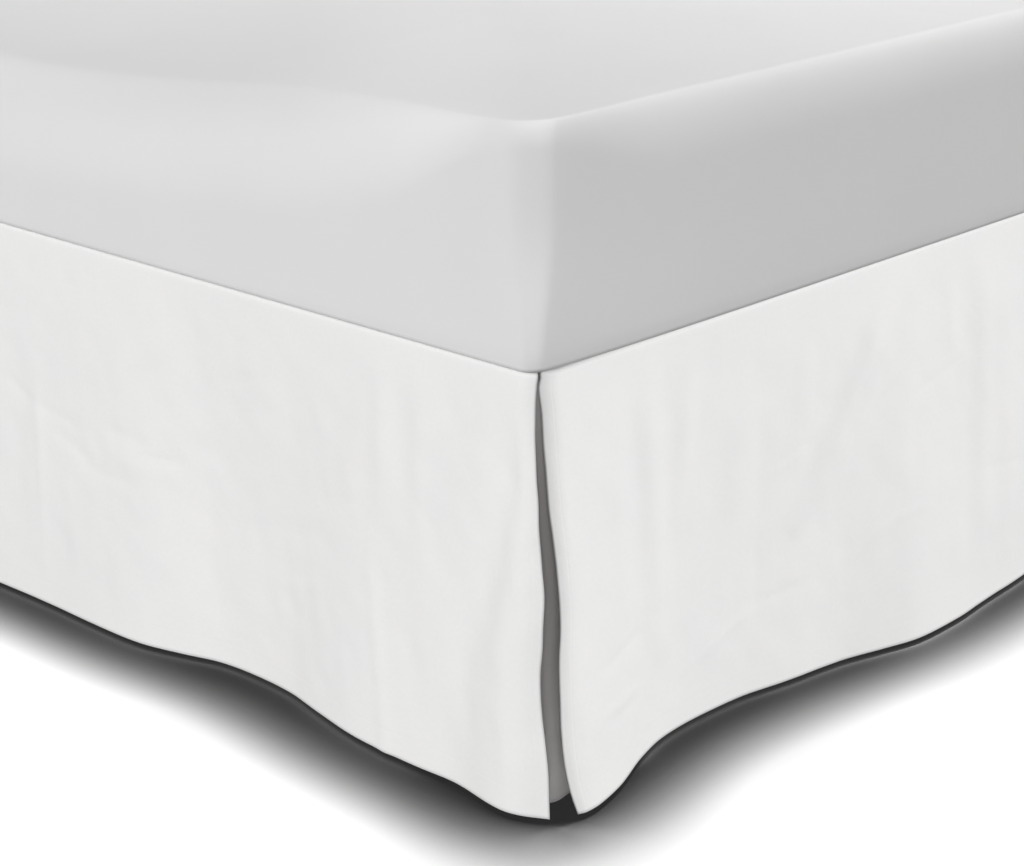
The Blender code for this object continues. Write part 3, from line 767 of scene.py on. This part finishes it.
def bed_base(finish):
    """The block that the skirt hides, with rounded corners and edges."""
    angles = np.linspace(0.0, math.pi / 2, BASE_EDGE_STEPS + 1)
    insets = BASE_EDGE * (1 - np.sin(angles))
    rises = BASE_EDGE * (1 - np.cos(angles))
    levels = [*zip(insets, BASE_LOW.z + rises), *zip(insets[::-1], BASE_HIGH.z - rises[::-1])]
    loops = []
    for i, z in levels:
        half_x, half_y, corner = HALF_WIDTH - i, HALF_LENGTH - i, BASE_CORNER - i
        loops.append(lifted(rounded_rectangle(half_x, half_y, corner, *BASE_STEPS), z))
    piece = closed_loft("base_block", loops, finish)
    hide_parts("base")
    return piece


def from_corners(ring):
    """Distance of each point of a ring from the nearest upright corner of the mattress."""
    return (MATTRESS_X - np.abs(ring[:, 0])) + (MATTRESS_Y - np.abs(ring[:, 1]))


def rim_shape(outline):
    """How far in and down the top's rounding reaches round the outline, and the rim's sag."""
    x, y = np.abs(outline[:, 0]), outline[:, 1]
    at_foot = y < MATTRESS_CORNER - MATTRESS_Y
    away = np.where(at_foot, smooth_step(MATTRESS_X - x, 0.0, RIM_REACH), 0.0)
    middle = np.clip(1.0 - x / MATTRESS_X, 0.0, 1.0) ** RIM_FOOT_POWER
    sag = np.where(at_foot, RIM_SAG_FOOT * np.sin(math.pi / 2 * middle), 0.0)
    tight = smooth_step(from_corners(outline), *RIM_CORNER_EASE)
    tight = RIM_AT_CORNER + (1.0 - RIM_AT_CORNER) * tight
    return (
        (RIM_IN + (RIM_IN_FOOT - RIM_IN) * away) * tight,
        (RIM_DOWN + (RIM_DOWN_FOOT - RIM_DOWN) * away) * tight,
        sag,
    )


def cover_outline(height, inset=0.0):
    """The mattress's outline at a height, its faces drawn in near the upright corners."""
    share = (height - MATTRESS_LOW.z) / (MATTRESS_HIGH.z - MATTRESS_LOW.z)
    up = smooth_step(share, 0.0, CORNER_FULL)
    radius = MATTRESS_CORNER_LOW + (MATTRESS_CORNER - MATTRESS_CORNER_LOW) * up
    ring = rounded_rectangle(MATTRESS_X - inset, MATTRESS_Y - inset, radius, *MATTRESS_STEPS)
    away = from_corners(ring)
    pull_x = SIDE_PULL * np.exp(-away / SIDE_PULL_REACH)
    pull_x += BOW * (BOW_AT_BOTTOM + (1.0 - BOW_AT_BOTTOM) * up) * np.exp(-away / BOW_REACH)
    pull_y = FOOT_PULL * up * np.exp(-away / FOOT_PULL_REACH)
    return ring - np.sign(ring) * np.stack([pull_x, pull_y], axis=1)


def mattress(finish):
    """Mattress in its fitted cover, with a soft rim that sinks at the middle of the foot."""
    outline = rounded_rectangle(MATTRESS_X, MATTRESS_Y, MATTRESS_CORNER, *MATTRESS_STEPS)
    inner = rounded_rectangle(
        MATTRESS_X - TOP_REACH, MATTRESS_Y - TOP_REACH, MATTRESS_CORNER, *MATTRESS_STEPS
    )
    rim_in, rim_down, sag = rim_shape(outline)
    low = MATTRESS_LOW.z + MATTRESS_FOOT_RADIUS
    high = MATTRESS_HIGH.z - sag - rim_down
    usual_high = float(np.median(high))
    loops = []
    for angle in np.linspace(0.0, math.pi / 2, EDGE_ROWS):
        inset = MATTRESS_FOOT_RADIUS * (1 - math.sin(angle))
        height = MATTRESS_LOW.z + MATTRESS_FOOT_RADIUS * (1 - math.cos(angle))
        loops.append(lifted(cover_outline(height, inset), height))
    for share in np.linspace(0.0, 1.0, SIDE_ROWS + 1)[1:-1]:
        ring = cover_outline(low + (usual_high - low) * share)
        loops.append(lifted(ring, low + (high - low) * share))
    rim_outline = cover_outline(usual_high)
    inward = inner - rim_outline
    inward /= np.linalg.norm(inward, axis=1)[:, None]
    for angle in np.linspace(0.0, math.pi / 2, RIM_ROWS):
        ring = rim_outline + inward * (rim_in * (1 - math.cos(angle)))[:, None]
        loops.append(lifted(ring, high + rim_down * math.sin(angle)))
    rim = loops[-1]
    for share in np.linspace(0.0, 1.0, TOP_ROWS + 1)[1:]:
        ring = rim[:, :2] + (inner + (0.0, BED_Y) - rim[:, :2]) * share
        ease = smooth_step(share, 0.0, 1.0)
        loops.append(lifted(ring, rim[:, 2] + (MATTRESS_HIGH.z - rim[:, 2]) * ease, 0.0))
    piece = closed_loft("mattress_pad", loops, finish)
    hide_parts("mattress")
    return piece


def leg(name, finish):
    """Round leg with an eased foot, where the part's leg stands."""
    low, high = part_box(name)
    middle = ((low.x + high.x) / 2, (low.y + high.y) / 2)
    radius = (high.x - low.x) / 2
    levels = [
        (radius - LEG_EASE * (1 - math.sin(a)), low.z + LEG_EASE * (1 - math.cos(a)))
        for a in (0.0, *np.linspace(0.2, math.pi / 2, 5))
    ]
    levels += [(radius, high.z - LEG_CHAMFER), (radius - LEG_CHAMFER, high.z)]
    turns = np.linspace(0.0, 2 * math.pi, LEG_SIDES, endpoint=False)
    loops = []
    for r, z in levels:
        x, y = middle[0] + r * np.cos(turns), middle[1] + r * np.sin(turns)
        loops.append(np.stack([x, y, np.full(LEG_SIDES, z)], axis=1))
    piece = closed_loft(name + "_turned", loops, finish)
    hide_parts(name)
    return piece


# ---- the part ----

white = cotton("skirt_cotton_white", (0.86, 0.857, 0.85), thread=0.0011)
cover = soft_cover("mattress_cover_grey", (0.70, 0.70, 0.70), grain=1400.0)
base_cloth = soft_cover("base_cloth_grey", (0.60, 0.59, 0.57), grain=900.0)
leg_plastic = moulded_plastic("leg_plastic_black", (0.030, 0.030, 0.032))

RIGHT_CORNER = (SEAM_X, FOOT_Y, 0.0)
LEFT_CORNER = (-SEAM_X, FOOT_Y, 0.0)
SIDE_LENGTH = HALF_LENGTH + SEAM_Y
foot_panel = skirt_panel(
    Panel("panel_foot", RIGHT_CORNER, (-1, 0, 0), (0, -1, 0), 2 * SEAM_X, True,
          FOOT_ENDS, FOOT_WAVES, FOOT_FOLDS, FOOT_CREASES, fine=0.74, seed=11),
    white, flip=True, flat_length=1.55)
right_panel = skirt_panel(
    Panel("panel_side_right", RIGHT_CORNER, (0, 1, 0), (1, 0, 0), SIDE_LENGTH, False,
          SIDE_ENDS, RIGHT_WAVES, RIGHT_FOLDS, RIGHT_CREASES, fine=0.72, seed=23),
    white, flip=False, flat_length=2.03)
left_panel = skirt_panel(
    Panel("panel_side_left", LEFT_CORNER, (0, 1, 0), (-1, 0, 0), SIDE_LENGTH, False,
          SIDE_ENDS, LEFT_WAVES, LEFT_FOLDS, (), fine=0.10, seed=37),
    white, flip=True, flat_length=2.03)
inserts = [
    corner_insert("insert_right", 1, white, flip=False, seed=5),
    corner_insert("insert_left", -1, white, flip=True, seed=6),
]
pad = mattress(cover)
base = bed_base(base_cloth)
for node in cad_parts:
    if node.startswith("leg_"):
        leg(node, leg_plastic)

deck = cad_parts["deck"]
deck.data.materials.clear()
deck.data.materials.append(soft_cover("deck_cotton", (0.82, 0.82, 0.81), grain=900.0))

# ---- stage ----

AMBIENT = 0.10
FLOOR_REACH = 14  # half the width of the floor
PAINTED_SHADOW_REACH = 0.10  # how far the painted shadow under the hem spreads in the floor's colour
PAINTED_SHADOW_POWER = 1.8
FLOOR_PAINTED_GLOW = 0.022  # painted glow: light that the floor gives off, the brightness of its deepest painted shadow
FLOOR_OPEN, FLOOR_PAINTED_SHADOW = 0.80, 0.03  # greys of the floor: its own grey in the open, and the painted shadow under the hem
MIX_A, MIX_B, MIX_RESULT = 6, 7, 2  # the Mix node's colour sockets, which share their names

sides = ((-1, -1), (1, -1), (1, 1), (-1, 1))
floor_mesh = bpy.data.meshes.new("floor")
floor_mesh.from_pydata([(x * FLOOR_REACH, y * FLOOR_REACH, 0) for x, y in sides], [], [range(4)])
floor = add_object("floor", floor_mesh)
floor_finish, tree, floor_shader = new_material("floor_pale", (FLOOR_OPEN,) * 3, 0.9)
floor_shader.inputs["Specular IOR Level"].default_value = 0.0
# painted glow: the floor gives off a little light of its own
floor_shader.inputs["Emission Color"].default_value = (1.0, 1.0, 1.0, 1.0)
floor_shader.inputs["Emission Strength"].default_value = FLOOR_PAINTED_GLOW
closed_in = add_node(tree, "ShaderNodeAmbientOcclusion", samples=48, Distance=PAINTED_SHADOW_REACH)
# 0 where half of the view from the floor is closed in, as under the hem, and 1 in the open; it
# masks the painted shadow
open_share = maths(tree, "MULTIPLY_ADD", closed_in.outputs["AO"], 2.0, -1.0)
open_share = maths(tree, "POWER", maths(tree, "MAXIMUM", open_share, 0.0), PAINTED_SHADOW_POWER)
# painted shadow: the floor's colour darkens from its own grey to near black towards the hem
painted_shadow_mix = add_node(tree, "ShaderNodeMix", data_type="RGBA")
painted_shadow_mix.inputs[MIX_A].default_value = (*(FLOOR_PAINTED_SHADOW,) * 3, 1.0)
painted_shadow_mix.inputs[MIX_B].default_value = (*(FLOOR_OPEN,) * 3, 1.0)
tree.links.new(open_share, painted_shadow_mix.inputs["Factor"])
tree.links.new(painted_shadow_mix.outputs[MIX_RESULT], floor_shader.inputs["Base Color"])
floor_finish.cycles.emission_sampling = "NONE"
floor_mesh.materials.append(floor_finish)
floor.visible_diffuse = False  # so its bright surface throws no light on the cloth

# A pale studio: the camera sees white all round, and little light comes from there.
world = bpy.data.worlds.new("studio")
world.use_nodes = True
tree = world.node_tree
rays = tree.nodes.new("ShaderNodeLightPath")
strength = maths(tree, "MULTIPLY_ADD", rays.outputs["Is Camera Ray"], 1.0 - AMBIENT, AMBIENT)
tree.links.new(strength, tree.nodes["Background"].inputs["Strength"])
tree.nodes["Background"].inputs["Color"].default_value = (1.0, 1.0, 1.0, 1.0)
bpy.context.scene.world = world
bpy.context.scene.view_settings.view_transform = "Standard"


def add_lamp(name, kind, place, power, lit, **settings):
    """Lamp that lights only the pieces named."""
    data = bpy.data.lights.new(name, kind)
    data.energy = power
    for key, value in settings.items():
        setattr(data, key, value)
    lamp = add_object(name, data)
    lamp.location = place
    group = bpy.data.collections.new(name + "_lights")
    for piece in lit:
        group.objects.link(piece)
    lamp.light_linking.receiver_collection = group
    return lamp


def far_light(name, azimuth, elevation, softness, power, lit, colour=(1.0, 1.0, 1.0)):
    """Far soft light, its angles in degrees: azimuth 0 is the foot's side, and 90 the right."""
    a, e = math.radians(azimuth), math.radians(elevation)
    back = Vector((math.sin(a) * math.cos(e), -math.cos(a) * math.cos(e), math.sin(e)))
    lamp = add_lamp(name, "SUN", back * 6.0, power, lit, angle=math.radians(softness), color=colour)
    lamp.rotation_euler = back.to_track_quat("Z", "Y").to_euler()


def small_lamp(name, x, y, z, power, lit):
    """Small round lamp, close to what it lights."""
    add_lamp(name, "POINT", (x, y, z), power, lit, shadow_soft_size=0.02)


far_light("light_foot", 12, 14, 40, 2.93, [foot_panel])
far_light("light_right", 102, 15, 40, 2.90, [right_panel])
far_light("light_left", 252, 20, 40, 2.85, [left_panel])
small_lamp("light_foot_hem", SEAM_X - 0.25, FOOT_Y - 0.20, 0.04, 0.05, [foot_panel])
small_lamp("light_right_hem", SEAM_X + 0.20, FOOT_Y + 0.29, 0.04, 0.045, [right_panel])
small_lamp("light_right_end", SEAM_X + 0.12, FOOT_Y - 0.10, 0.22, 0.015, [right_panel])
far_light("light_mattress_left", 270, 0, 4, 2.7, [pad])
far_light("light_mattress_head", 180, 0, 4, 1.6, [pad])
far_light("light_base_head", 180, 15, 40, 2.8, [base])
far_light("light_inserts", 45, 8, 30, 0.42, inserts, (1.0, 0.94, 0.93))
small_lamp("light_gap_right", SEAM_X + 0.045, FOOT_Y - 0.045, 0.03, 0.040, inserts)
small_lamp("light_gap_left", -SEAM_X - 0.045, FOOT_Y - 0.045, 0.03, 0.040, inserts)
small_lamp("light_mattress_end", SEAM_X + 0.34, FOOT_Y + 0.04, 0.48, 0.25, [pad])
far_light("light_mattress_foot", 0, 20, 40, 2.95, [pad])
far_light("light_mattress_side", 126, 40, 40, 1.90, [pad])
far_light("light_mattress_low", 126, 0, 40, 0.95, [pad])
far_light("light_base", 45, 20, 60, 2.0, [base, deck])
far_light("light_floor", 205, 80, 13, 2.2, [floor])
far_light("light_floor_low", 225, 72, 13, 2.2, [floor])
add_lamp("light_top", "AREA", (0.5, 0.0, 1.4), 2.7, [pad], shape="DISK", size=0.8)

# ---- camera, at the photograph's angle ----

CAMERA_FROM_CORNER = Vector((1.2360, -1.3279, 0.0))  # from the seam's corner, seen from above
CAMERA_HEIGHT = 0.9768
CAMERA_TURN, CAMERA_DIP, CAMERA_ROLL = 43.64, 19.52, -0.43
CAMERA_LENS = 85.3
SEAM_OUTSIDE = 0.0054  # base face to the cloth's outer face at the seam

turn, dip, roll = (math.radians(v) for v in (CAMERA_TURN, CAMERA_DIP, CAMERA_ROLL))
ahead = Vector((-math.sin(turn) * math.cos(dip), math.cos(turn) * math.cos(dip), -math.sin(dip)))
level = ahead.cross(Vector((0, 0, 1))).normalized()
upright = level.cross(ahead)
right = level * math.cos(roll) + upright * math.sin(roll)
above = upright * math.cos(roll) - level * math.sin(roll)
camera_data = bpy.data.cameras.new("camera")
camera_data.lens = CAMERA_LENS
camera_data.sensor_width = 36.0
camera_data.sensor_fit = "HORIZONTAL"
camera_data.clip_end = 60.0
camera = add_object("camera", camera_data)
above_corner = Vector((BASE_HIGH.x + SEAM_OUTSIDE, BASE_LOW.y - SEAM_OUTSIDE, CAMERA_HEIGHT))
camera.matrix_world = Matrix.Translation(above_corner + CAMERA_FROM_CORNER) @ Matrix(
    (right, above, -ahead)
).transposed().to_4x4()
bpy.context.scene.camera = camera
